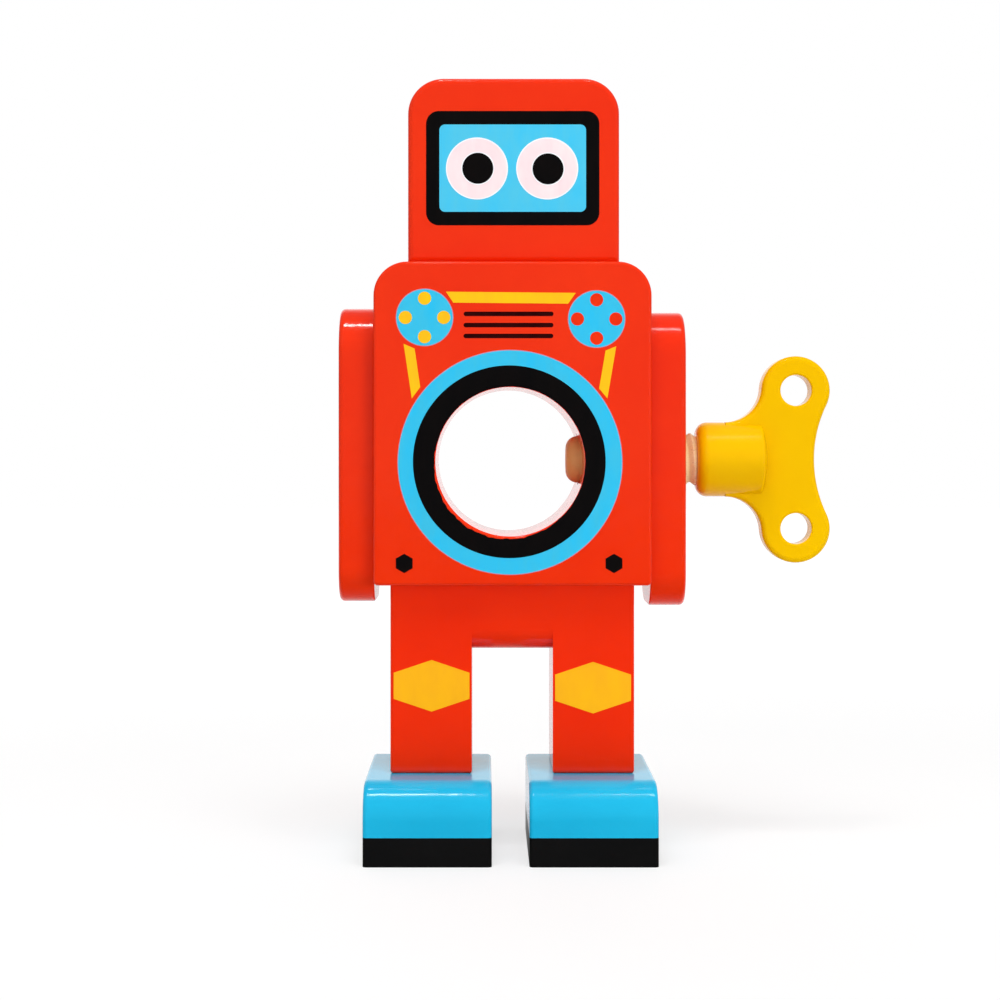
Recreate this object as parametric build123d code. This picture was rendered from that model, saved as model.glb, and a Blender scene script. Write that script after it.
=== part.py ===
from build123d import *
import os
from collections import namedtuple
from math import ceil, floor, sqrt

# A standing wooden figure that cracks nuts: a threaded spindle, turned by a key, comes
# through the right side of the body into a round nut hole.
# Millimetres. X points to the viewer's right, Y to the back and Z up, and the figure's
# front faces -Y. Each piece is made about the middle of the body. As it is written, it is
# moved so that the origin lies on the floor at the middle of the whole figure, with its key.

# Body block
torso_width = 82.0
torso_depth = 45.0
torso_height = 95.5
torso_shoulder_radius = 10.0
torso_base_radius = 1.4
torso_softening = 1.0
nut_hole_diameter = 44.0
nut_hole_rise = 36.5
nut_hole_offset = -0.7
nut_hole_softening = 0.8

# Head block, which stands a little to the right on the body
head_width = 62.8
head_depth = 35.0
head_height = 54.8
head_crown_radius = 10.5
head_base_radius = 0.6
head_softening = 1.8
head_offset = 0.4

# Arm boards, glued flat to the two sides of the body, the left one a little higher
arm_thickness = 10.65
arm_depth = 35.0
arm_length = 88.2
arm_top_radius = 13.5
arm_bottom_radius = 10.0
arm_outer_softening = 1.5
arm_inner_softening = 0.5
arm_drop_below_shoulder = 14.1
left_arm_raise = 1.2

# Legs and the block between them
leg_width = 24.2
leg_depth = 35.0
leg_length = 56.0
leg_gap = 24.0
leg_softening = 0.9
hip_block_height = 19.4
hip_block_radius = 6.5

# Feet and their soles, which both stand a little to the left of the legs
foot_width = 37.1
foot_length = 60.0
foot_height = 15.1
foot_toe_radius = 10.3
foot_softening = 1.2
foot_outset = 6.3
feet_offset = -0.75
foot_heel_reach = 21.5
sole_thickness = 8.4

# Dowels that hold the glued faces together
dowel_diameter = 8.0
dowel_chamfer = 0.7
glue_gap = 0.05
bore_end_gap = 0.5
neck_dowel_depth = 12.0
neck_dowel_spacing = 32.0
arm_dowel_depth_in_torso = 11.0
arm_dowel_depth_in_arm = 7.0
arm_dowel_spacing = 50.0
hip_dowel_depth = 12.0
hip_dowel_spacing = 18.0
hip_block_dowel_depth = 10.0
hip_side_dowel_depth = 7.0
ankle_dowel_depth_in_leg = 12.0
ankle_dowel_depth_in_foot = 10.0

# Spindle with its single-start right-hand thread, a little above the nut hole's middle
spindle_rise = 37.0
thread_diameter = 15.9
thread_depth = 1.0
thread_pitch = 3.5
thread_crest_share = 0.12
thread_root_share = 0.12
thread_clearance = 0.25
nose_length = 6.0
nose_slip = 0.1
nose_rounding = 3.5
nose_inside_nut_hole = 4.8
arm_bore_clearance = 0.4
arm_bore_chamfer = 0.6

# Key: a turned hub with two wings let into its end
hub_standoff = 4.35
hub_diameter = 22.6
hub_length = 19.8
hub_neck_radius = 3.4
hub_dome_rise = 2.1
hub_rim_radius = 0.9
hub_socket_depth = 4.0
spindle_shank_diameter = 13.6
wing_thickness = 9.0
wing_lobe_radius = 10.4
wing_lobe_spacing = 41.9
wing_lobe_from_hub_start = 30.2
wing_neck_radius = 11.0
wing_waist_radius = 38.0
wing_hole_diameter = 9.4
wing_softening = 1.6
wing_hole_softening = 0.6
key_dowel_diameter = 6.0
key_dowel_depth_in_spindle = 12.0
key_dowel_depth_in_wings = 6.0
key_dowel_running_gap = 0.05

# One overrun serves every cut that has to leave a face
overrun = 2.0

# Heights and places that follow from the sizes above
ankle_height = sole_thickness + foot_height
hip_height = ankle_height + leg_length
shoulder_height = hip_height + torso_height
nut_hole_height = hip_height + nut_hole_rise
spindle_height = hip_height + spindle_rise
torso_side = torso_width / 2
arm_outer_face = torso_side + arm_thickness
leg_centre = (leg_gap + leg_width) / 2
foot_centre = leg_gap / 2 + leg_width + foot_outset - foot_width / 2
foot_toe_reach = foot_length - foot_heel_reach
right_arm_height = shoulder_height - arm_drop_below_shoulder - arm_length / 2
left_arm_height = right_arm_height + left_arm_raise
hip_block_middle = hip_height - hip_block_height / 2

# Places along the spindle's axis, in X
spindle_tip = nut_hole_offset + nut_hole_diameter / 2 - nose_inside_nut_hole
wall_start = nut_hole_offset + sqrt((nut_hole_diameter / 2) ** 2 - (thread_diameter / 2) ** 2)
hub_start = arm_outer_face + hub_standoff
hub_rim = hub_start + hub_length
socket_end = hub_start + hub_socket_depth
lobe_centre_x = hub_start + wing_lobe_from_hub_start
lobe_centre_z = wing_lobe_spacing / 2
hub_radius = hub_diameter / 2
neck_centre_z = hub_radius + wing_neck_radius
wing_spring = lobe_centre_x - sqrt(
    (wing_lobe_radius + wing_neck_radius) ** 2 - (lobe_centre_z - neck_centre_z) ** 2
)
waist_centre_x = lobe_centre_x + sqrt((wing_lobe_radius + wing_waist_radius) ** 2 - lobe_centre_z**2)
key_end = lobe_centre_x + wing_lobe_radius

# The middle of the whole figure's width and depth, which becomes the origin
whole_middle_x = (key_end - arm_outer_face) / 2
whole_middle_y = (torso_depth / 2 - foot_toe_reach) / 2

LEFT = -1
RIGHT = 1
SIDES = {"left": LEFT, "right": RIGHT}


# Dowel joints
# Each joint lies on a glued face. Its planes face the second piece, one for each dowel.
DowelJoint = namedtuple("DowelJoint", "node first second planes depth_in_first depth_in_second")


def facing(direction, places):
    """Planes at the places, with their Z axis along the direction."""
    return [Plane(origin=place, z_dir=direction) for place in places]


def pair_along(axis, spacing, centre):
    """Two places, spaced evenly about the centre along an axis."""
    step = axis * (spacing / 2)
    return [centre - step, centre + step]


def neck_joint():
    places = pair_along(Vector(1, 0, 0), neck_dowel_spacing, Vector(0, 0, shoulder_height))
    planes = facing((0, 0, 1), places)
    return DowelJoint("neck_dowels", "torso", "head", planes, neck_dowel_depth, neck_dowel_depth)


def arm_joint(name, side):
    face_centre = Vector(side * torso_side, 0, spindle_height)
    places = pair_along(Vector(0, 0, 1), arm_dowel_spacing, face_centre)
    planes = facing((side, 0, 0), places)
    depths = (arm_dowel_depth_in_torso, arm_dowel_depth_in_arm)
    return DowelJoint(f"{name}_arm_dowels", "torso", f"{name}_arm", planes, *depths)


def hip_joint(name, side):
    leg_top = Vector(side * leg_centre, 0, hip_height)
    planes = facing((0, 0, 1), pair_along(Vector(0, 1, 0), hip_dowel_spacing, leg_top))
    depths = (hip_dowel_depth, hip_dowel_depth)
    return DowelJoint(f"{name}_hip_dowels", f"{name}_leg", "torso", planes, *depths)


def ankle_joint(name, side):
    leg_foot = Vector(side * leg_centre, 0, ankle_height)
    planes = facing((0, 0, 1), pair_along(Vector(0, 1, 0), hip_dowel_spacing, leg_foot))
    depths = (ankle_dowel_depth_in_foot, ankle_dowel_depth_in_leg)
    return DowelJoint(f"{name}_ankle_dowels", f"{name}_foot", f"{name}_leg", planes, *depths)


def hip_block_joints():
    up = facing((0, 0, 1), [(0, 0, hip_height)])
    depths = (hip_block_dowel_depth, hip_block_dowel_depth)
    joints = [DowelJoint("hip_block_dowels", "hip_block", "torso", up, *depths)]
    for name, side in SIDES.items():
        sideways = facing((side, 0, 0), [(side * leg_gap / 2, 0, hip_block_middle)])
        depths = (hip_side_dowel_depth, hip_side_dowel_depth)
        joints.append(DowelJoint("hip_block_dowels", "hip_block", f"{name}_leg", sideways, *depths))
    return joints


def all_joints():
    joints = [neck_joint(), *hip_block_joints()]
    for name, side in SIDES.items():
        joints += [arm_joint(name, side), hip_joint(name, side), ankle_joint(name, side)]
    return joints


def centred_rod(radius, start, end):
    """A rod along Z from one height to another."""
    return Pos(0, 0, start) * Cylinder(radius, end - start, align=(Align.CENTER, Align.CENTER, Align.MIN))


def dowel(joint):
    start = bore_end_gap - joint.depth_in_first
    end = joint.depth_in_second - bore_end_gap
    rod = centred_rod(dowel_diameter / 2, start, end)
    return chamfer(rod.edges().filter_by(GeomType.CIRCLE), dowel_chamfer)


def dowel_bore(joint):
    return centred_rod(dowel_diameter / 2 + glue_gap, -joint.depth_in_first, joint.depth_in_second)


def bored_for_dowels(name, solid, joints):
    """The piece with a bore for every dowel that reaches into it."""
    for joint in joints:
        if name in (joint.first, joint.second):
            for plane in joint.planes:
                solid -= plane.location * dowel_bore(joint)
    return solid


def dowel_nodes(joints):
    """The dowels of each node, as separate solids in one group."""
    groups = {}
    for joint in joints:
        placed = [plane.location * dowel(joint) for plane in joint.planes]
        groups.setdefault(joint.node, []).extend(placed)
    return {node: Compound(dowels) for node, dowels in groups.items()}


def circles_of(solid, radius):
    """The circular edges of one radius."""
    circles = solid.edges().filter_by(GeomType.CIRCLE)
    return circles.filter_by(lambda edge: abs(edge.radius - radius) < glue_gap)


# Wooden blocks
def front_block(width, depth, height, top_radius, base_radius, softening):
    """A block with rounded top corners, softened round its front and back faces."""
    top = height
    half = width / 2
    with BuildPart() as block:
        with BuildSketch(Plane.XZ):
            with BuildLine():
                Polyline((-half, 0), (half, 0), (half, top), (-half, top), close=True)
            make_face()
            fillet(vertices().group_by(Axis.Y)[0], base_radius)
            fillet(vertices().group_by(Axis.Y)[-1], top_radius)
        extrude(amount=depth / 2, both=True)
        outlines = faces().filter_by(Axis.Y).edges()
        fillet(outlines, softening)
    return block.part


def along_spindle(solid):
    """Turns a solid that was made along Z to lie along X on the spindle's axis."""
    return Pos(0, 0, spindle_height) * Rot(0, 90, 0) * solid


def thread_corners(radius_gain):
    """Rises and radii of one turn's corners, from a crest's lower edge to the next one's."""
    crest = thread_diameter / 2 + radius_gain
    root = crest - thread_depth
    crest_half = thread_pitch * thread_crest_share / 2
    root_half = thread_pitch * thread_root_share / 2
    root_middle = thread_pitch / 2
    return [
        (-crest_half, crest),
        (crest_half, crest),
        (root_middle - root_half, root),
        (root_middle + root_half, root),
        (thread_pitch - crest_half, crest),
    ]


def one_turn(radius, height):
    """One turn of a right-hand helix about Z."""
    return Edge.make_helix(thread_pitch, thread_pitch, radius, center=(0, 0, height))


def thread_strips(corners, turn):
    """The four helical faces of one turn: crest, flank, root and flank."""
    curves = [one_turn(radius, turn * thread_pitch + rise) for rise, radius in corners]
    return [Face.make_surface_from_curves(*pair) for pair in zip(curves, curves[1:])]


def thread_end(corners, turn):
    """The two faces that close a thread under a turn: a helicoid to the axis and a flat step."""
    outline = [(radius, 0, turn * thread_pitch + rise) for rise, radius in corners]
    radius, _, low = outline[0]
    axis = [(0, 0, low), (0, 0, low + thread_pitch)]
    helicoid = Face.make_surface_from_curves(one_turn(radius, low), Edge.make_line(*axis))
    step = Face(Wire.make_polygon([*outline, *reversed(axis)], close=True))
    return [helicoid, step]


def thread_body(radius_gain, start, end):
    """A threaded rod along Z. Its thread is in step with every other one, wherever it starts."""
    corners = thread_corners(radius_gain)
    first = floor(start / thread_pitch) - 1
    last = ceil(end / thread_pitch) + 1
    skin = thread_end(corners, first) + thread_end(corners, last)
    for turn in range(first, last):
        skin += thread_strips(corners, turn)
    blank = centred_rod(thread_diameter / 2 + overrun, start, end)
    return blank & Solid(Shell(skin))


def make_torso():
    block = front_block(
        torso_width, torso_depth, torso_height, torso_shoulder_radius, torso_base_radius, torso_softening
    )
    block = Pos(0, 0, hip_height) * block
    nut_hole = Rot(90, 0, 0) * Cylinder(nut_hole_diameter / 2, torso_depth + overrun)
    block -= Pos(nut_hole_offset, 0, nut_hole_height) * nut_hole
    block = fillet(circles_of(block, nut_hole_diameter / 2), nut_hole_softening)
    tapped = thread_body(thread_clearance, wall_start - overrun, torso_side + overrun)
    return block - along_spindle(tapped)


def make_head():
    block = front_block(
        head_width, head_depth, head_height, head_crown_radius, head_base_radius, head_softening
    )
    return Pos(head_offset, 0, shoulder_height) * block


def make_arm(side):
    """A board whose ends are rounded from front to back, softened most round its outer face."""
    with BuildPart() as arm:
        with BuildSketch(Plane.YZ):
            Rectangle(arm_depth, arm_length)
            fillet(vertices().group_by(Axis.Y)[0], arm_bottom_radius)
            fillet(vertices().group_by(Axis.Y)[-1], arm_top_radius)
        extrude(amount=arm_thickness / 2, both=True)
        flats = faces().filter_by(Axis.X).sort_by(Axis.X)
        outer = flats[-1] if side == RIGHT else flats[0]
        inner = flats[0] if side == RIGHT else flats[-1]
        fillet(outer.edges(), arm_outer_softening)
        fillet(inner.edges(), arm_inner_softening)
    height = right_arm_height if side == RIGHT else left_arm_height
    board = Pos(side * (torso_side + arm_thickness / 2), 0, height) * arm.part
    if side == RIGHT:
        bore_radius = thread_diameter / 2 + arm_bore_clearance
        board -= along_spindle(centred_rod(bore_radius, torso_side - overrun, arm_outer_face + overrun))
        mouth = board.edges().filter_by(GeomType.CIRCLE).sort_by(Axis.X)[-1]
        board = chamfer(mouth, arm_bore_chamfer)
    return board


def make_leg(side):
    """A post, softened at its foot and down its outer corners. The inner ones meet the hip block sharply."""
    leg = Box(leg_width, leg_depth, leg_length)
    corners = leg.edges().filter_by(Axis.Z).filter_by(lambda edge: edge.center().X * side > 0)
    leg = fillet(corners + leg.edges().group_by(Axis.Z)[0], leg_softening)
    return Pos(side * leg_centre, 0, ankle_height + leg_length / 2) * leg


def make_hip_block():
    """The block between the legs, with its lower front and back edges rounded."""
    block = Box(leg_gap, leg_depth, hip_block_height)
    lower_edges = block.edges().filter_by(Axis.X).sort_by(Axis.Z)[:2]
    block = fillet(lower_edges, hip_block_radius)
    return Pos(0, 0, hip_block_middle) * block


def foot_plan_block(height, side):
    """A block on the foot's plan, standing on Z = 0."""
    block = Box(foot_width, foot_length, height, align=(Align.CENTER, Align.MIN, Align.MIN))
    return Pos(side * foot_centre + feet_offset, -foot_toe_reach, 0) * block


def make_foot(side):
    foot = foot_plan_block(foot_height, side)
    toe = foot.edges().filter_by(Axis.X).sort_by(Axis.Z)[-2:].sort_by(Axis.Y)[0]
    foot = fillet(toe, foot_toe_radius)
    under = foot.faces().sort_by(Axis.Z)[0]
    foot = fillet([edge for edge in foot.edges() if edge not in under.edges()], foot_softening)
    return Pos(0, 0, sole_thickness) * foot


def make_sole(side):
    sole = foot_plan_block(sole_thickness, side)
    return fillet(sole.edges().filter_by(Axis.Z), foot_softening)


# Spindle and key
def make_spindle():
    """A threaded rod with a plain rounded nose and a plain shank, glued into the hub."""
    nose_radius = thread_diameter / 2 - thread_depth + thread_clearance - nose_slip
    nose_end = spindle_tip + nose_length
    nose = centred_rod(nose_radius, spindle_tip, nose_end)
    nose = fillet(circles_of(nose, nose_radius).sort_by(Axis.Z)[0], nose_rounding)
    thread = thread_body(0, nose_end, hub_start) - lead_in_collar(nose_radius, nose_end)
    shank = centred_rod(spindle_shank_diameter / 2, hub_start, socket_end)
    bore_radius = key_dowel_diameter / 2 + key_dowel_running_gap
    bore = centred_rod(bore_radius, socket_end - key_dowel_depth_in_spindle, socket_end + overrun)
    return along_spindle(thread.fuse(nose, shank) - bore)


def lead_in_collar(nose_radius, nose_end):
    """A ring with a conical bore, which tapers the first turn of the thread down to the nose."""
    ring = centred_rod(thread_diameter / 2 + overrun, nose_end - overrun, nose_end + overrun)
    taper = Cone(nose_radius - overrun, nose_radius + overrun, 2 * overrun)
    return ring - Pos(0, 0, nose_end) * taper


def hub_profile():
    """Half of the hub's turned outline, with the axis of the key along Z."""
    dome_top = hub_rim + hub_dome_rise
    with BuildSketch(Plane.XZ) as profile:
        with BuildLine():
            Polyline((0, dome_top), (0, hub_start), (hub_radius, hub_start), (hub_radius, hub_rim))
            dome_radius = (hub_radius**2 + hub_dome_rise**2) / (2 * hub_dome_rise)
            RadiusArc((hub_radius, hub_rim), (0, dome_top), -dome_radius)
        make_face()
        rim_corner = vertices().filter_by(lambda corner: corner.X > hub_radius / 2).sort_by(Axis.Y)[-1]
        fillet(rim_corner, hub_rim_radius)
        neck_corner = vertices().filter_by(lambda corner: corner.X > hub_radius / 2).sort_by(Axis.Y)[0]
        fillet(neck_corner, hub_neck_radius)
    return profile.sketch


def make_key_hub():
    """The turned hub: a socket for the spindle, a bore for the dowel and a slot for the wings."""
    hub = revolve(hub_profile(), Axis.Z)
    socket = centred_rod(spindle_shank_diameter / 2 + glue_gap, hub_start - overrun, socket_end)
    bore_radius = key_dowel_diameter / 2 + key_dowel_running_gap
    bore = centred_rod(bore_radius, hub_start, wing_spring + overrun)
    slot_length = hub_rim + hub_dome_rise - wing_spring + glue_gap
    slot = Box(
        hub_diameter + overrun,
        wing_thickness + 2 * glue_gap,
        slot_length + overrun,
        align=(Align.CENTER, Align.CENTER, Align.MIN),
    )
    slot = Pos(0, 0, wing_spring - glue_gap) * slot
    return along_spindle(hub - socket - bore - slot)


def arc_points(centre, radius, start, end, way=1):
    """Start, middle and end of an arc about the centre. With way -1 it takes the longer way."""
    middle = centre + (start + end - centre * 2).normalized() * (radius * way)
    return [start, middle, end]


def wing_outline():
    """Two lobes joined by hollow arcs, all tangent, drawn in X and Z about the key's axis."""
    lobe = Vector(lobe_centre_x, lobe_centre_z)
    neck = Vector(wing_spring, neck_centre_z)
    waist = Vector(waist_centre_x, 0)
    spring = Vector(wing_spring, hub_radius)
    neck_touch = lobe + (neck - lobe).normalized() * wing_lobe_radius
    waist_touch = lobe + (waist - lobe).normalized() * wing_lobe_radius
    upper_arcs = [
        arc_points(neck, wing_neck_radius, spring, neck_touch),
        arc_points(lobe, wing_lobe_radius, neck_touch, waist_touch, way=-1),
    ]
    with BuildSketch(Plane.XZ) as outline:
        with BuildLine():
            for arc in upper_arcs:
                ThreePointArc(*arc)
                ThreePointArc(*[Vector(point.X, -point.Y) for point in arc])
            lower_touch = Vector(waist_touch.X, -waist_touch.Y)
            ThreePointArc(*arc_points(waist, wing_waist_radius, waist_touch, lower_touch))
            Line(spring, Vector(spring.X, -spring.Y))
        make_face()
    return outline.sketch


def make_key_wings():
    """The flat wings, with two holes and a short bore for the dowel in their inner edge."""
    wings = extrude(wing_outline(), amount=wing_thickness / 2, both=True)
    outlines = wings.faces().filter_by(Axis.Y).edges()
    wings = fillet(outlines.filter_by(GeomType.CIRCLE), wing_softening)
    for side in SIDES.values():
        hole = Rot(90, 0, 0) * Cylinder(wing_hole_diameter / 2, wing_thickness + overrun)
        wings -= Pos(lobe_centre_x, 0, side * lobe_centre_z) * hole
    wings = fillet(circles_of(wings, wing_hole_diameter / 2), wing_hole_softening)
    placed = Pos(0, 0, spindle_height) * wings
    bore_radius = key_dowel_diameter / 2 + key_dowel_running_gap
    bore = centred_rod(bore_radius, wing_spring - overrun, wing_spring + key_dowel_depth_in_wings)
    return placed - along_spindle(bore)


def make_key_dowel():
    """The round dowel down the middle of the key, through spindle, hub and wings."""
    start = socket_end - key_dowel_depth_in_spindle + bore_end_gap
    end = wing_spring + key_dowel_depth_in_wings - bore_end_gap
    rod = centred_rod(key_dowel_diameter / 2, start, end)
    return along_spindle(chamfer(rod.edges().filter_by(GeomType.CIRCLE), dowel_chamfer))


def all_nodes():
    joints = all_joints()
    wooden = {"torso": make_torso(), "head": make_head(), "hip_block": make_hip_block()}
    for name, side in SIDES.items():
        wooden[f"{name}_arm"] = make_arm(side)
        wooden[f"{name}_leg"] = make_leg(side)
        wooden[f"{name}_foot"] = make_foot(side)
    nodes = {name: bored_for_dowels(name, solid, joints) for name, solid in wooden.items()}
    for name, side in SIDES.items():
        nodes[f"{name}_sole"] = make_sole(side)
    nodes["spindle"] = make_spindle()
    nodes["key_hub"] = make_key_hub()
    nodes["key_wings"] = make_key_wings()
    nodes["key_dowel"] = make_key_dowel()
    nodes.update(dowel_nodes(joints))
    return nodes


os.makedirs("parts", exist_ok=True)
to_origin = Pos(-whole_middle_x, -whole_middle_y, 0)
for node, solid in all_nodes().items():
    export_step(to_origin * solid, f"parts/{node}.step")
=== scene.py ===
import math

import bmesh
import bpy
from mathutils import Color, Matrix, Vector
from mathutils.geometry import tessellate_polygon


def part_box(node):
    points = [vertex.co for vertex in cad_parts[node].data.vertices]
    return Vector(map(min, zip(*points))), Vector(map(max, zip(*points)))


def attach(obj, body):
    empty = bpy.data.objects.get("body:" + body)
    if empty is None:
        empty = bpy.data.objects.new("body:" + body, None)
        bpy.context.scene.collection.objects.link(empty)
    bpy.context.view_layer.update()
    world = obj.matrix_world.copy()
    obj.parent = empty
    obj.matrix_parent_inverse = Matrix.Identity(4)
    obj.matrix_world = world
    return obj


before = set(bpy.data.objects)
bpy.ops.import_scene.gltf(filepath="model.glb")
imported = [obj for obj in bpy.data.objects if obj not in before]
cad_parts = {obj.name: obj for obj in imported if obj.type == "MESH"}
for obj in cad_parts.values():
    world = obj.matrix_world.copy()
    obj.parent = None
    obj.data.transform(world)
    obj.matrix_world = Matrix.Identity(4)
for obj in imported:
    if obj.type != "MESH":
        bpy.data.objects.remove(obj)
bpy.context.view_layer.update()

# Sizes are real millimetres, and MM turns them into Blender's metres. Places are measured
# from the floor under the middle of the body: X to the viewer's right, Y to the back, Z up.
MM = 0.001
SIDES = {"left": -1, "right": 1}
CIRCLE_STEPS = 128
CORNER_STEPS = 12
HEXAGON_CORNERS = 6

# Camera, as the photograph's perspective gives it: level, and shifted to frame the object
PHOTO_WIDTH_PX = 1000
FOCAL_PX = 2040
DEPTH_VANISHES_AT_PX = (484, 440)
SENSOR_WIDTH = 36
CAMERA_PLACE = (-8.4, -622.5, 122.4)

# Printed marks: how far the first layer of ink stands proud, how much each layer on it adds, and
# how far all of them sink into what carries them. Some edges show a line of the layer under them.
PRINT_RISE = 0.05
LAYER_RISE = 0.03
PRINT_SINK = 0.02
EDGE_LAYER = -1
FIRST_LAYER = 0
SECOND_LAYER = 1
THIRD_LAYER = 2
EDGE_LINE = 0.22
EDGE_OVERLAP = 1.0

# The hole through the body, and the rings round it
HOLE_SHIFT = -0.7
HOLE_BELOW_SPINDLE = 0.5
HOLE_RADIUS = 22.0
HOLE_ROUNDING = 0.8
RING_JOIN_RADIUS = 28.35
RING_OUTER_RADIUS = 32.9
BLUE_RING_OFFSET = (-0.05, -0.18)
RING_OVERLAP = 0.3
BLACK_INTO_ROUNDING = 0.68
RED_SLIVER = 0.85
RED_SLIVER_ANGLE = math.radians(238)
RADIAL_STEPS = 8

# The black ring's ragged edge: waves in a full turn, share of the depth, and where each wave starts
RAGGED_DEPTH = 0.09
RAGGED_WAVES = ((17, 1, 0.6), (41, 0.7, 2.1), (67, 0.5, 0))
RAGGED_LEAST_SHARE = 0.4

# Dials, bars and vents on the body, measured from the middle of the print, which sits a little askew
PRINT_SHIFT = -0.26
PRINT_TURN = math.radians(-0.52)
DIAL_OFFSET = 25.31
DIAL_RISE = 42.22
DIAL_RADIUS = 8.26
DOTS = 4
DOT_RADIUS = 1.94
DOT_OFFSET = 5.65
TOP_BAR_TOP_HALF = 19.1
TOP_BAR_BOTTOM_HALF = 16.9
TOP_BAR_RISES = (46.65, 49.85)
SIDE_BAR_CORNERS = {
    "left": ((31.4, 34.42), (28.15, 33.02), (26.4, 21.7), (28.85, 18.4)),
    "right": ((31.15, 34.28), (28.02, 32.95), (26.22, 21.75), (28.68, 18.9)),
}
VENT_RISES = (37.0, 40.2, 43.5)
VENT_HALF_LENGTH = 13.2
VENT_THICKNESS = 1.3
VENT_SHIFT = -0.6
BOLT_SHIFT = -0.32
BOLT_OFFSET = 30.85
BOLT_DROP = 29.9
BOLT_RADIUS = 2.85

# Face, measured from the middle of the head
SCREEN_SHIFT = 0.12
SCREEN_RISE = 0.62
FRAME_SIZE = (51.4, 33.9)
FRAME_CORNER = 3.8
FIELD_SIZE = (43.5, 25.9)
FIELD_CORNER = 1.7
EYES_SHIFT = -0.18
EYES_RISE = -0.1
EYE_OFFSET = 10.42
EYE_RADIUS = 9.2
EYE_RIM = 0.35
PUPIL_RADIUS = 4.6
PUPIL_OFFSETS = {"left": (0.24, 0.04), "right": (0.23, -0.13)}
PUPIL_RIM = 0.3

# Hexagons on the knees
KNEE_WIDTH = 22.5
KNEE_HALF_HEIGHT = 7.65
KNEE_SHOULDER = 3.87
KNEE_INNER_MARGIN = 0.7
KNEE_HEIGHTS = {"left": 49.5, "right": 48.95}

# Colours as the eye sees them, from 0 to 255: each paint or ink, and the shade that it drifts to
FULL_COLOUR = 255
WHITE = (1, 1, 1, 1)
PAINTS = {
    "red": ((237, 49, 4), (233, 42, 2)),
    # The legs and hip block take the body's red painted brighter: painted light that makes up for the
    # dimmer light on them.
    "red_painted_brighter": ((246, 46, 3), (241, 40, 2)),
    "blue": ((28, 183, 225), (24, 175, 218)),
    "black": ((9, 9, 10), (13, 12, 13)),
    "hub_yellow": ((240, 188, 0), (236, 181, 0)),
    "wing_yellow": ((240, 190, 0), (236, 183, 0)),
}
INKS = {
    "black": ((11, 10, 11), (15, 12, 12)),
    "dark": ((36, 2, 3), (48, 6, 5)),
    "blue": ((42, 190, 236), (58, 190, 228)),
    "screen": ((66, 195, 236), (80, 196, 230)),
    "yellow": ((252, 197, 14), (250, 188, 24)),
    "amber": ((255, 185, 14), (252, 179, 20)),
    "white": ((250, 230, 232), (244, 222, 226)),
    "pure_white": ((250, 250, 252), (244, 244, 248)),
    "blue_edge": ((176, 158, 186), (190, 140, 160)),
    "red": ((237, 49, 5), (229, 41, 4)),
}
BEECH_PALE = (255, 236, 192)
BEECH_TAN = (248, 216, 160)
BEECH_BROWN = (176, 122, 76)
BEECH_OILED = (222, 182, 104)
FLOOR_GREY = (236, 236, 236)

# Finishes. A relief is the height of a pattern from its lowest place to its highest
PAINT_ROUGHNESS = 0.12
PAINT_ROUGHNESS_CHANGES = (-0.04, 0.05)
SOLE_ROUGHNESS = 0.35
PAINT_SPECULAR = 0.4
FOOT_SPECULAR = 0.3
HUB_SPECULAR = 0.15
WING_SPECULAR = 0.08
PAINT_RELIEF = 0.06
FIBRES_IN_PAINT_SHARE = 0.45
SPECK_IN_PAINT_SHARE = 0.15
INK_ROUGHNESS = 0.42
INK_SPECULAR = 0.16
DARK_INK_SPECULAR = 0.05
DARK_INKS = ("black", "dark")
INK_RELIEF = 0.016
WEAVE_IN_INK_SHARE = 0.4
BEECH_ROUGHNESS = 0.55
BEECH_SPECULAR = 0.3
BEECH_RELIEF = 0.08
FLECKS_SHARE = 0.75
FLOOR_ROUGHNESS = 0.8
FLOOR_SPECULAR = 0.5

# Patterns of noise: features per metre along each axis, and how many finer layers lie on them
NOISE_ROUGHNESS = 0.55
PATTERNS = {
    "grain_x": ((45, 900, 900), 4),
    "grain_y": ((900, 45, 900), 4),
    "grain_z": ((900, 900, 45), 4),
    "drift": ((30, 30, 30), 3),
    "peel": ((190, 190, 190), 1),
    "speck": ((1500, 1500, 1500), 1),
    "cover": ((260, 260, 90), 4),
    "weave": ((2200, 2200, 2200), 0),
    "growth": ((22, 420, 420), 3),
    "flecks": ((260, 2600, 2600), 2),
    "pores": ((60, 1800, 1800), 4),
}

# The part of a pattern's values over which it goes from nothing to all
SPANS = {
    "drift": (0.3, 0.7),
    "speck": (0.3, 0.7),
    "cover": (0.35, 0.68),
    "growth": (0.35, 0.65),
    "flecks": (0.56, 0.7),
}

# Wear and shade on the spindle: oil darkens its nose, fading out between two places, and its thread's
# roots are darker with dust and painted shade
OILED_ENDS = (24, 34)
OILED_SHARE = 0.85
THREAD_ROOT_RADIUS = 6.95
THREAD_CREST_RADIUS = 7.95
ROOT_DUST_AND_SHADE_SHARE = 0.7

# Brightness of the stage, where 1 is white: as seen, as a light, and as gloss reflects it. Gloss finds
# a dim room in front of the object and a white backdrop behind it. The change from one to the other
# lies between two shares of straight back in the world, and between two places on the floor.
BACKDROP_SEEN = 1
AMBIENT_LIGHT = 0.43
ROOM_GLOSS = 0.27
BACKDROP_GLOSS = 1.12
BACKDROP_EDGE_SHARES = (0.6, 0.95)
FLOOR_SEEN = 1.08
FLOOR_FRONT_GLOSS = 0.05
FLOOR_BACK_GLOSS = 1
FLOOR_GLOSS_EDGES = (-30, 80)

# The floor: a share of it is plain white near the object, where the shadow shows, and all of it further
# out. The light that it throws back is dimmed by a share.
FLOOR_HALF = 3000
FLOOR_WHITE_SHARE = 0.6
FLOOR_SHADOW_REACH = (250, 900)
FLOOR_DIMMED_SHARE = 0.1

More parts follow.
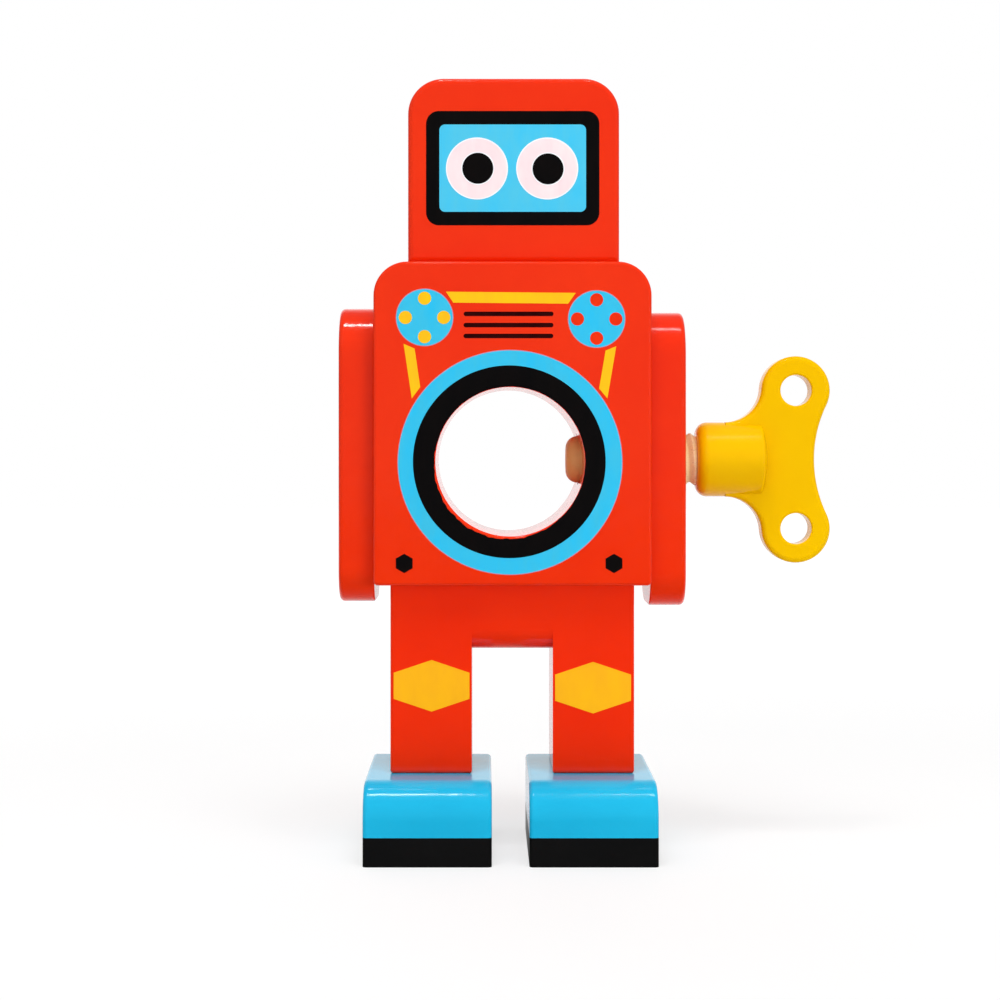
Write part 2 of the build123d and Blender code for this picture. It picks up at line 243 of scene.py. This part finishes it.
# Lamps: place, aim, width and height, power in watts, and whether gloss shows them
CHEST = (0, 0, 120)
SHINS = (0, 0, 50)
LAMPS = {
    "overhead_left": ((-102, -290, 1245), CHEST, (115, 110), 1.4, True),
    "overhead_right": ((152, -290, 1245), CHEST, (34, 110), 0.4, True),
    "overhead_soft": ((0, -800, 2250), CHEST, (1600, 800), 25, False),
    "front_softbox": ((-700, -1100, 900), CHEST, (900, 700), 1.9, False),
    "front_fill": ((600, -900, 140), SHINS, (500, 200), 3.0, False),
    "side_fill": ((900, -700, 500), CHEST, (600, 600), 0.8, False),
    "back_fill": ((-200, 1300, 1000), CHEST, (1400, 900), 5, False),
}


# What the frame gives
def middle_of(node):
    """The middle of a node's box, in millimetres."""
    low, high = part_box(node)
    return (low + high) / 2 / MM


body_middle = Vector((middle_of("torso").x, middle_of("spindle").y, 0))


def box_from_body(node):
    """A node's lowest and highest corners in millimetres, from the middle of the body."""
    return [corner / MM - body_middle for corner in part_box(node)]


def in_frame(point):
    """A point in millimetres from the middle of the body, as a place in the frame in metres."""
    return (Vector(point) + body_middle) * MM


torso_front = box_from_body("torso")[0].y
head_front = box_from_body("head")[0].y
leg_front = box_from_body("right_leg")[0].y
leg_inner = box_from_body("right_leg")[0].x
hole_height = middle_of("spindle").z - HOLE_BELOW_SPINDLE
head_height = middle_of("head").z


# Shader nodes
def linear(colour):
    """A colour as the eye sees it, in the linear values that shaders take."""
    seen = Color([part / FULL_COLOUR for part in colour])
    return (*seen.from_srgb_to_scene_linear(), 1)


def add_node(tree, kind, **values):
    """A shader node with its sockets or settings given by name."""
    node = tree.nodes.new(kind)
    for name, value in values.items():
        socket = name.replace("_", " ")
        if socket in node.inputs:
            node.inputs[socket].default_value = value
        else:
            setattr(node, name, value)
    return node


def coordinates(tree, output="Object"):
    """Places in the frame in metres, or another output of the texture coordinates."""
    return add_node(tree, "ShaderNodeTexCoord").outputs[output]


def along(tree, vector, axis):
    """One part of a vector, named X, Y or Z."""
    parts = add_node(tree, "ShaderNodeSeparateXYZ")
    tree.links.new(vector, parts.inputs["Vector"])
    return parts.outputs[axis]


def vector_math(tree, operation, vector, other=(0, 0, 0)):
    """Maths on a vector and, where the operation takes a second one, a fixed vector."""
    node = add_node(tree, "ShaderNodeVectorMath", operation=operation)
    tree.links.new(vector, node.inputs[0])
    node.inputs[1].default_value = other
    return node.outputs["Value" if operation == "LENGTH" else "Vector"]


def noise(tree, pattern):
    """One of the patterns of noise, over the object's own space."""
    scale, detail = PATTERNS[pattern]
    mapping = add_node(tree, "ShaderNodeMapping", Scale=scale)
    texture = add_node(tree, "ShaderNodeTexNoise", Scale=1, Detail=detail, Roughness=NOISE_ROUGHNESS)
    tree.links.new(coordinates(tree), mapping.inputs["Vector"])
    tree.links.new(mapping.outputs["Vector"], texture.inputs["Vector"])
    return texture.outputs["Fac"]


def ranged(tree, value, span, to_span=(0, 1)):
    """The value stretched from one range to another, and held inside it."""
    limits = {"From_Min": span[0], "From_Max": span[1], "To_Min": to_span[0], "To_Max": to_span[1]}
    node = add_node(tree, "ShaderNodeMapRange", clamp=True, **limits)
    tree.links.new(value, node.inputs["Value"])
    return node.outputs["Result"]


def share_of(tree, pattern, most=1):
    """How strongly a pattern shows at each place, from 0 to the most that it does."""
    return ranged(tree, noise(tree, pattern), SPANS[pattern], (0, most))


def mixed(tree, share, first, second, kind="RGBA"):
    """The first value where the share is 0 and the second where it is 1. Each may be a socket."""
    node = add_node(tree, "ShaderNodeMix", data_type=kind)
    factor, *ends = [socket for socket in node.inputs if socket.enabled]
    tree.links.new(share, factor)
    for socket, value in zip(ends, (first, second)):
        if isinstance(value, bpy.types.NodeSocket):
            tree.links.new(value, socket)
        else:
            socket.default_value = value
    return next(socket for socket in node.outputs if socket.enabled)


def summed(tree, first, second, weight):
    """The first value plus the second one times a weight."""
    node = add_node(tree, "ShaderNodeMath", operation="MULTIPLY_ADD")
    tree.links.new(second, node.inputs[0])
    node.inputs[1].default_value = weight
    tree.links.new(first, node.inputs[2])
    return node.outputs[0]


def bumped(tree, shader, height, relief):
    """Gives the shader a bump of this relief."""
    bump = add_node(tree, "ShaderNodeBump", Strength=1, Distance=relief * MM)
    tree.links.new(height, bump.inputs["Height"])
    tree.links.new(bump.outputs["Normal"], shader.inputs["Normal"])


def new_material(name, roughness, specular):
    """A plain material, with its node tree and its shader."""
    material = bpy.data.materials.new(name)
    material.use_nodes = True
    shader = material.node_tree.nodes["Principled BSDF"]
    shader.inputs["Roughness"].default_value = roughness
    shader.inputs["Specular IOR Level"].default_value = specular
    return material, material.node_tree, shader


# Materials
def painted_wood(name, paint, grain="z", roughness=PAINT_ROUGHNESS, specular=PAINT_SPECULAR):
    """Sprayed paint on wood: faint grain and orange peel in relief, and a slow drift of colour."""
    material, tree, shader = new_material(name, roughness, specular)
    colour, shade = (linear(seen) for seen in PAINTS[paint])
    drifting = mixed(tree, share_of(tree, "drift"), shade, colour)
    tree.links.new(drifting, shader.inputs["Base Color"])
    speck = noise(tree, "speck")
    rough_span = [roughness + change for change in PAINT_ROUGHNESS_CHANGES]
    tree.links.new(ranged(tree, speck, SPANS["speck"], rough_span), shader.inputs["Roughness"])
    relief = summed(tree, noise(tree, "peel"), noise(tree, f"grain_{grain}"), FIBRES_IN_PAINT_SHARE)
    bumped(tree, shader, summed(tree, relief, speck, SPECK_IN_PAINT_SHARE), PAINT_RELIEF)
    return material


def printed_ink(ink):
    """Screen print: flat, a little uneven where the paint under it shows."""
    specular = DARK_INK_SPECULAR if ink in DARK_INKS else INK_SPECULAR
    material, tree, shader = new_material(f"{ink}_ink", INK_ROUGHNESS, specular)
    colour, shade = (linear(seen) for seen in INKS[ink])
    covering = mixed(tree, share_of(tree, "cover"), shade, colour)
    tree.links.new(covering, shader.inputs["Base Color"])
    relief = summed(tree, noise(tree, "grain_z"), noise(tree, "weave"), WEAVE_IN_INK_SHARE)
    bumped(tree, shader, relief, INK_RELIEF)
    return material


def bare_beech(name):
    """Unpainted beech that lies along X: fine dark flecks, soft growth lines, and thread roots darkened by
    dust and painted shade.
    """
    material, tree, shader = new_material(name, BEECH_ROUGHNESS, BEECH_SPECULAR)
    tan = linear(BEECH_TAN)
    colour = mixed(tree, share_of(tree, "growth"), linear(BEECH_PALE), tan)
    colour = mixed(tree, share_of(tree, "flecks", FLECKS_SHARE), colour, linear(BEECH_BROWN))
    # Thread roots drift towards tan: dust and painted shade.
    colour = mixed(tree, root_dust_and_shade_share(tree), colour, tan)
    colour = mixed(tree, oiled_share(tree), colour, linear(BEECH_OILED))
    tree.links.new(colour, shader.inputs["Base Color"])
    bumped(tree, shader, noise(tree, "pores"), BEECH_RELIEF)
    return material


def oiled_share(tree):
    """How oily a place is: most on the spindle's nose, fading away along the thread."""
    ends = [in_frame((end, 0, 0)).x for end in OILED_ENDS]
    return ranged(tree, along(tree, coordinates(tree), "X"), ends, (OILED_SHARE, 0))


def root_dust_and_shade_share(tree):
    """How dark a place is from dust and painted shade: not at all on the thread's crests, and most at its
    roots.
    """
    axis = in_frame((0, 0, middle_of("spindle").z))
    from_axis = vector_math(tree, "SUBTRACT", coordinates(tree), axis)
    across = vector_math(tree, "MULTIPLY", from_axis, (0, 1, 1))
    radii = (THREAD_ROOT_RADIUS * MM, THREAD_CREST_RADIUS * MM)
    return ranged(tree, vector_math(tree, "LENGTH", across), radii, (ROOT_DUST_AND_SHADE_SHARE, 0))


# Mesh building
def mesh_object(name, vertices, faces, material):
    """An object from points in millimetres, with its faces turned outwards."""
    mesh = bpy.data.meshes.new(name)
    mesh.from_pydata([in_frame(point) for point in vertices], [], faces)
    work = bmesh.new()
    work.from_mesh(mesh)
    bmesh.ops.recalc_face_normals(work, faces=work.faces)
    work.to_mesh(mesh)
    work.free()
    mesh.materials.append(material)
    made = bpy.data.objects.new(name, mesh)
    bpy.context.scene.collection.objects.link(made)
    return made


def proud_of(surface, layer):
    """How far back the top of a layer of ink lies, on a surface that looks to -Y."""
    return surface - PRINT_RISE - layer * LAYER_RISE


def slab(name, loops, front, layer, material):
    """A closed plate on a face that looks to -Y. Its outline comes first, then its holes."""
    points = [point for loop in loops for point in loop]
    vertices = [(x, proud_of(front, layer), z) for x, z in points]
    vertices += [(x, front + PRINT_SINK, z) for x, z in points]
    count = len(points)
    caps = tessellate_polygon([[Vector((x, z, 0)) for x, z in loop] for loop in loops])
    faces = [tuple(cap) for cap in caps] + [tuple(count + corner for corner in cap) for cap in caps]
    first = 0
    for loop in loops:
        for step in range(len(loop)):
            here, there = first + step, first + (step + 1) % len(loop)
            faces.append((here, there, count + there, count + here))
        first += len(loop)
    return mesh_object(name, vertices, faces, material)


def circle(centre, radius, steps=CIRCLE_STEPS, start=0):
    """Points evenly spaced round a circle. A few of them make a polygon or a row of places."""
    turns = [start + 2 * math.pi * step / steps for step in range(steps)]
    return [(centre[0] + radius * math.cos(turn), centre[1] + radius * math.sin(turn)) for turn in turns]


def rounded_box(centre, size, corner):
    """A rectangle with round corners."""
    points = []
    for number, (across, up) in enumerate(((1, 1), (-1, 1), (-1, -1), (1, -1))):
        x = centre[0] + across * (size[0] / 2 - corner)
        z = centre[1] + up * (size[1] / 2 - corner)
        for step in range(CORNER_STEPS + 1):
            turn = math.pi / 2 * (number + step / CORNER_STEPS)
            points.append((x + corner * math.cos(turn), z + corner * math.sin(turn)))
    return points


def placed(piece, body):
    """Fastens a new piece to its body."""
    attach(piece, body)


def from_hole(points):
    """Points given from the middle of the hole."""
    return [(HOLE_SHIFT + x, hole_height + z) for x, z in points]


def on_print(points):
    """Points given from the middle of the print."""
    across, up = math.cos(PRINT_TURN), math.sin(PRINT_TURN)
    return from_hole([(PRINT_SHIFT + x * across - z * up, x * up + z * across) for x, z in points])


# Rings round the hole
def black_inner_radius(turn):
    """The black ring's inner edge: ragged, over the hole's rounding, and furthest off it at lower left."""
    away = max(0, math.cos(turn - RED_SLIVER_ANGLE))
    ripple = sum(share * math.sin(waves * turn + start) for waves, share, start in RAGGED_WAVES)
    plain = HOLE_RADIUS + HOLE_ROUNDING - BLACK_INTO_ROUNDING + RED_SLIVER * away**2
    return plain + RAGGED_DEPTH * ripple * (RAGGED_LEAST_SHARE + away)


def body_surface(radius):
    """How far back the body's surface lies at a distance from the hole's axis."""
    into = max(0, HOLE_ROUNDING - (radius - HOLE_RADIUS))
    return torso_front + HOLE_ROUNDING - math.sqrt(HOLE_ROUNDING**2 - into**2)


def black_ring_spoke(turn):
    """Points of the body's surface under the black ring, from its inner edge outwards, at one turn."""
    inner = black_inner_radius(turn)
    spoke = []
    for step in range(RADIAL_STEPS + 1):
        share = (step / RADIAL_STEPS) ** 2
        radius = inner + (RING_JOIN_RADIUS - inner) * share
        x, z = from_hole([(PRINT_SHIFT * share + radius * math.cos(turn), radius * math.sin(turn))])[0]
        spoke.append((x, body_surface(radius), z))
    return spoke


def band_faces(spokes, rows):
    """The faces of a closed band. Its front points come first, spoke by spoke, then its back ones."""
    count = spokes * rows
    faces = []
    for spoke in range(spokes):
        here, there = spoke * rows, (spoke + 1) % spokes * rows
        for row in range(rows - 1):
            quad = (here + row, here + row + 1, there + row + 1, there + row)
            faces += [quad, tuple(count + corner for corner in quad)]
        for row in (0, rows - 1):
            faces.append((here + row, there + row, count + there + row, count + here + row))
    return faces


def black_ring(material):
    """The black ring, which runs over the hole's rounded edge."""
    spokes = CIRCLE_STEPS * 2
    turns = [2 * math.pi * spoke / spokes for spoke in range(spokes)]
    points = [point for turn in turns for point in black_ring_spoke(turn)]
    vertices = [(x, proud_of(surface, SECOND_LAYER), z) for x, surface, z in points]
    vertices += [(x, surface + PRINT_SINK, z) for x, surface, z in points]
    return mesh_object("black_ring", vertices, band_faces(spokes, RADIAL_STEPS + 1), material)


def ring(name, inner, outer, layer, material):
    """A flat ring round the hole."""
    centre = from_hole([BLUE_RING_OFFSET])[0]
    return slab(name, [circle(centre, outer), circle(centre, inner)], torso_front, layer, material)


def body_rings(inks):
    line_radii = (RING_OUTER_RADIUS - EDGE_OVERLAP, RING_OUTER_RADIUS + EDGE_LINE)
    line = ring("ring_edge_line", *line_radii, EDGE_LAYER, inks["blue_edge"])
    placed(line, "frame")
    blue_radii = (RING_JOIN_RADIUS - RING_OVERLAP, RING_OUTER_RADIUS)
    placed(ring("blue_ring", *blue_radii, FIRST_LAYER, inks["blue"]), "frame")
    placed(black_ring(inks["black"]), "frame")


# Printed marks round the rings
def dial(name, dots, inks):
    """A blue disc with dots, above the hole at one side."""
    centre = on_print([(SIDES[name] * DIAL_OFFSET, DIAL_RISE)])[0]
    edges = [circle(centre, DIAL_RADIUS + EDGE_LINE), circle(centre, DIAL_RADIUS - EDGE_OVERLAP)]
    line = slab(f"{name}_dial_edge_line", edges, torso_front, EDGE_LAYER, inks["blue_edge"])
    placed(line, "frame")
    disc = slab(f"{name}_dial", [circle(centre, DIAL_RADIUS)], torso_front, FIRST_LAYER, inks["blue"])
    placed(disc, "frame")
    for number, place in enumerate(circle(centre, DOT_OFFSET, DOTS), start=1):
        outline = [circle(place, DOT_RADIUS)]
        dot = slab(f"{name}_dial_dot_{number}", outline, torso_front, SECOND_LAYER, dots)
        placed(dot, "frame")


def body_bars(inks):
    low, high = TOP_BAR_RISES
    corners = [
        (-TOP_BAR_TOP_HALF, high),
        (TOP_BAR_TOP_HALF, high),
        (TOP_BAR_BOTTOM_HALF, low),
        (-TOP_BAR_BOTTOM_HALF, low),
    ]
    top = slab("top_bar", [on_print(corners)], torso_front, FIRST_LAYER, inks["yellow"])
    placed(top, "frame")
    for name, side in SIDES.items():
        outline = on_print([(side * x, z) for x, z in SIDE_BAR_CORNERS[name]])
        bar = slab(f"{name}_side_bar", [outline], torso_front, FIRST_LAYER, inks["yellow"])
        placed(bar, "frame")


def body_vents(inks):
    size = (2 * VENT_HALF_LENGTH, VENT_THICKNESS)
    for number, centre in enumerate(on_print([(VENT_SHIFT, rise) for rise in VENT_RISES]), start=1):
        outline = rounded_box(centre, size, VENT_THICKNESS / 2)
        vent = slab(f"vent_line_{number}", [outline], torso_front, FIRST_LAYER, inks["dark"])
        placed(vent, "frame")


def body_bolts(inks):
    for name, side in SIDES.items():
        centre = from_hole([(BOLT_SHIFT + side * BOLT_OFFSET, -BOLT_DROP)])[0]
        outline = circle(centre, BOLT_RADIUS, HEXAGON_CORNERS, start=math.pi / 2)
        bolt = slab(f"{name}_bolt_mark", [outline], torso_front, FIRST_LAYER, inks["black"])
        placed(bolt, "frame")


# Printed face and knees
def screen(inks):
    """The screen with its black frame. Gives the middle of both."""
    centre = (SCREEN_SHIFT, head_height + SCREEN_RISE)
    border = [rounded_box(centre, FRAME_SIZE, FRAME_CORNER)]
    placed(slab("screen_frame", border, head_front, FIRST_LAYER, inks["black"]), "frame")
    field = [rounded_box(centre, FIELD_SIZE, FIELD_CORNER)]
    placed(slab("screen_field", field, head_front, SECOND_LAYER, inks["screen"]), "frame")
    return centre


def eye(name, side, screen_centre, inks):
    """A white disc with a paler rim, and a black pupil with a paler rim of its own."""
    centre = (screen_centre[0] + EYES_SHIFT + side * EYE_OFFSET, screen_centre[1] + EYES_RISE)
    pupil = (centre[0] + PUPIL_OFFSETS[name][0], centre[1] + PUPIL_OFFSETS[name][1])
    discs = (
        ("eye_rim", centre, EYE_RADIUS, "pure_white"),
        ("eye_white", centre, EYE_RADIUS - EYE_RIM, "white"),
        ("pupil_rim", pupil, PUPIL_RADIUS + PUPIL_RIM, "pure_white"),
        ("pupil", pupil, PUPIL_RADIUS, "black"),
    )
    for layer, (part, middle, radius, ink) in enumerate(discs, start=THIRD_LAYER):
        disc = slab(f"{name}_{part}", [circle(middle, radius)], head_front, layer, inks[ink])
        placed(disc, "frame")


def knee_mark(name, side, inks):
    """A wide hexagon that points up and down, on the front of a leg."""
    inner = leg_inner + KNEE_INNER_MARGIN
    middle = inner + KNEE_WIDTH / 2
    outer = inner + KNEE_WIDTH
    corners = [
        (inner, KNEE_SHOULDER),
        (middle, KNEE_HALF_HEIGHT),
        (outer, KNEE_SHOULDER),
        (outer, -KNEE_SHOULDER),
        (middle, -KNEE_HALF_HEIGHT),
        (inner, -KNEE_SHOULDER),
    ]
    outline = [(side * x, KNEE_HEIGHTS[name] + z) for x, z in corners]
    mark = slab(f"{name}_knee_mark", [outline], leg_front, FIRST_LAYER, inks["amber"])
    placed(mark, "frame")


def printed_marks():
    inks = {ink: printed_ink(ink) for ink in INKS}
    body_rings(inks)
    dial("left", inks["yellow"], inks)
    dial("right", inks["red"], inks)
    body_bars(inks)
    body_vents(inks)
    body_bolts(inks)
    screen_centre = screen(inks)
    for name, side in SIDES.items():
        eye(name, side, screen_centre, inks)
        knee_mark(name, side, inks)


def dress_nodes():
    """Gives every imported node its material. What has no coat of paint is bare beech."""
    upright_red = painted_wood("red_paint", "red")
    # The legs take the body's red painted brighter, as painted light.
    legs_brighter_red = painted_wood("red_paint_on_legs_painted_brighter", "red_painted_brighter")
    blue = painted_wood("blue_paint", "blue", grain="y", specular=FOOT_SPECULAR)
    black = painted_wood("black_paint", "black", grain="y", roughness=SOLE_ROUGHNESS)
    beech = bare_beech("bare_beech")
    coats = {
        "torso": upright_red,
        "head": upright_red,
        # The hip block takes the same brighter red: painted light.
        "hip_block": painted_wood("red_paint_painted_brighter_level_grain", "red_painted_brighter", grain="x"),
        "key_hub": painted_wood("yellow_paint", "hub_yellow", specular=HUB_SPECULAR),
        "key_wings": painted_wood("yellow_paint_on_wings", "wing_yellow", specular=WING_SPECULAR),
    }
    for side in SIDES:
        coats.update({f"{side}_arm": upright_red, f"{side}_leg": legs_brighter_red})
        coats.update({f"{side}_foot": blue, f"{side}_sole": black})
    for name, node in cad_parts.items():
        node.data.materials.clear()
        node.data.materials.append(coats.get(name, beech))


# Stage, light and camera
def by_ray(tree, seen, glossy, otherwise):
    """Picks a value by what kind of ray asks: one that sees the place, one from gloss, or any other."""
    path = add_node(tree, "ShaderNodeLightPath")
    sees = add_node(tree, "ShaderNodeMath", operation="MAXIMUM")
    tree.links.new(path.outputs["Is Camera Ray"], sees.inputs[0])
    tree.links.new(path.outputs["Is Transmission Ray"], sees.inputs[1])
    without_gloss = mixed(tree, sees.outputs[0], otherwise, seen, "FLOAT")
    return mixed(tree, path.outputs["Is Glossy Ray"], without_gloss, glossy, "FLOAT")


def white_world():
    """A white backdrop, and for gloss a dim room in front of it."""
    world = bpy.data.worlds.new("studio")
    world.use_nodes = True
    tree = world.node_tree
    background = tree.nodes["Background"]
    background.inputs["Color"].default_value = WHITE
    backwards = along(tree, coordinates(tree, "Generated"), "Y")
    gloss = ranged(tree, backwards, BACKDROP_EDGE_SHARES, (ROOM_GLOSS, BACKDROP_GLOSS))
    strength = by_ray(tree, BACKDROP_SEEN, gloss, AMBIENT_LIGHT)
    tree.links.new(strength, background.inputs["Strength"])
    bpy.context.scene.world = world


def floor_glow(tree):
    """The plain white of the floor, which gloss finds dim in front of the object."""
    glow = add_node(tree, "ShaderNodeEmission", Color=WHITE)
    edges = [edge * MM for edge in FLOOR_GLOSS_EDGES]
    backwards = along(tree, coordinates(tree), "Y")
    gloss = ranged(tree, backwards, edges, (FLOOR_FRONT_GLOSS, FLOOR_BACK_GLOSS))
    tree.links.new(by_ray(tree, FLOOR_SEEN, gloss, 0), glow.inputs["Strength"])
    return glow.outputs["Emission"]


def floor_material():
    """A pale floor that looks white to the camera and keeps the object's shadow."""
    material, tree, shader = new_material("pale_floor", FLOOR_ROUGHNESS, FLOOR_SPECULAR)
    shader.inputs["Base Color"].default_value = linear(FLOOR_GREY)
    away = vector_math(tree, "LENGTH", coordinates(tree))
    reach = [distance * MM for distance in FLOOR_SHADOW_REACH]
    white_share = ranged(tree, away, reach, (FLOOR_WHITE_SHARE, 1))
    mix = add_node(tree, "ShaderNodeMixShader")
    tree.links.new(by_ray(tree, white_share, 1, FLOOR_DIMMED_SHARE), mix.inputs["Fac"])
    tree.links.new(shader.outputs["BSDF"], mix.inputs[1])
    tree.links.new(floor_glow(tree), mix.inputs[2])
    tree.links.new(mix.outputs["Shader"], tree.nodes["Material Output"].inputs["Surface"])
    return material


def white_floor():
    half = FLOOR_HALF
    corners = [(-half, -half, 0), (half, -half, 0), (half, half, 0), (-half, half, 0)]
    mesh_object("floor", corners, [(0, 1, 2, 3)], floor_material())


def area_lamp(name, place, aim, size, power, in_gloss):
    """A rectangular lamp that faces its aim."""
    light = bpy.data.lights.new(name, "AREA")
    light.shape = "RECTANGLE"
    light.size, light.size_y = size[0] * MM, size[1] * MM
    light.energy = power
    lamp = bpy.data.objects.new(name, light)
    lamp.location = in_frame(place)
    lamp.visible_glossy = in_gloss
    direction = (Vector(aim) - Vector(place)).normalized()
    lamp.rotation_euler = direction.to_track_quat("-Z", "Y").to_euler()
    bpy.context.scene.collection.objects.link(lamp)


def photo_camera():
    data = bpy.data.cameras.new("camera")
    data.sensor_width = SENSOR_WIDTH
    data.sensor_fit = "HORIZONTAL"
    data.lens = FOCAL_PX / PHOTO_WIDTH_PX * SENSOR_WIDTH
    across, down = (PHOTO_WIDTH_PX / 2 - pixel for pixel in DEPTH_VANISHES_AT_PX)
    data.shift_x = across / PHOTO_WIDTH_PX
    data.shift_y = -down / PHOTO_WIDTH_PX
    camera = bpy.data.objects.new("camera", data)
    camera.location = in_frame(CAMERA_PLACE)
    camera.rotation_euler = (math.pi / 2, 0, 0)
    bpy.context.scene.collection.objects.link(camera)
    bpy.context.scene.camera = camera


dress_nodes()
printed_marks()
white_world()
white_floor()
for lamp_name, settings in LAMPS.items():
    area_lamp(lamp_name, *settings)
photo_camera()
bpy.context.scene.view_settings.view_transform = "Standard"
